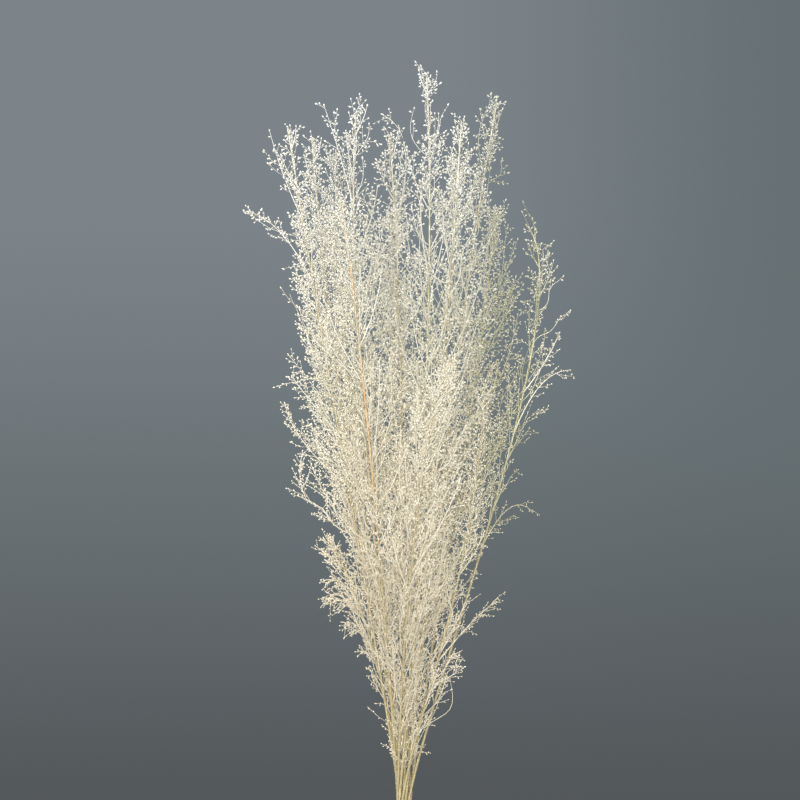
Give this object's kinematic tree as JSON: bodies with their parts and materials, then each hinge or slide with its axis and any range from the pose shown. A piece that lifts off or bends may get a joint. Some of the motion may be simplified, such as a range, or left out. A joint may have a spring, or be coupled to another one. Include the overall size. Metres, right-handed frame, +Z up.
{
  "type": "dried sweet wormwood stems in a bottle",
  "caption": "Tall airy bunch of bleached, dried sweet wormwood stems with fine twigs and tiny seed heads, standing in a plain narrow-necked glass bottle.",
  "frame": {"origin": "centre of the bottle's foot, on the surface it stands on", "axes": "+Z up along the bottle's axis; -Y towards the viewer of the picture; +X to the viewer's right"},
  "size_m": [0.2608, 0.2091, 0.8166],
  "materials": {
    "bottle_glass": "smooth clear soda-lime glass with a faint green tint",
    "dried_stem": "matte bleached straw, cream-white at the seed heads"
  },
  "bodies": {
    "root": {"bottle": "bottle_glass", "wormwood_stem_01": "dried_stem", "wormwood_stem_02": "dried_stem", "wormwood_stem_03": "dried_stem", "wormwood_stem_04": "dried_stem", "wormwood_stem_05": "dried_stem", "wormwood_stem_06": "dried_stem", "wormwood_stem_07": "dried_stem", "wormwood_stem_08": "dried_stem", "wormwood_stem_09": "dried_stem", "wormwood_stem_10": "dried_stem", "wormwood_stem_11": "dried_stem", "wormwood_stem_12": "dried_stem", "wormwood_stem_13": "dried_stem", "wormwood_stem_14": "dried_stem", "wormwood_stem_15": "dried_stem", "wormwood_stem_16": "dried_stem"}
  },
  "joints": []
}
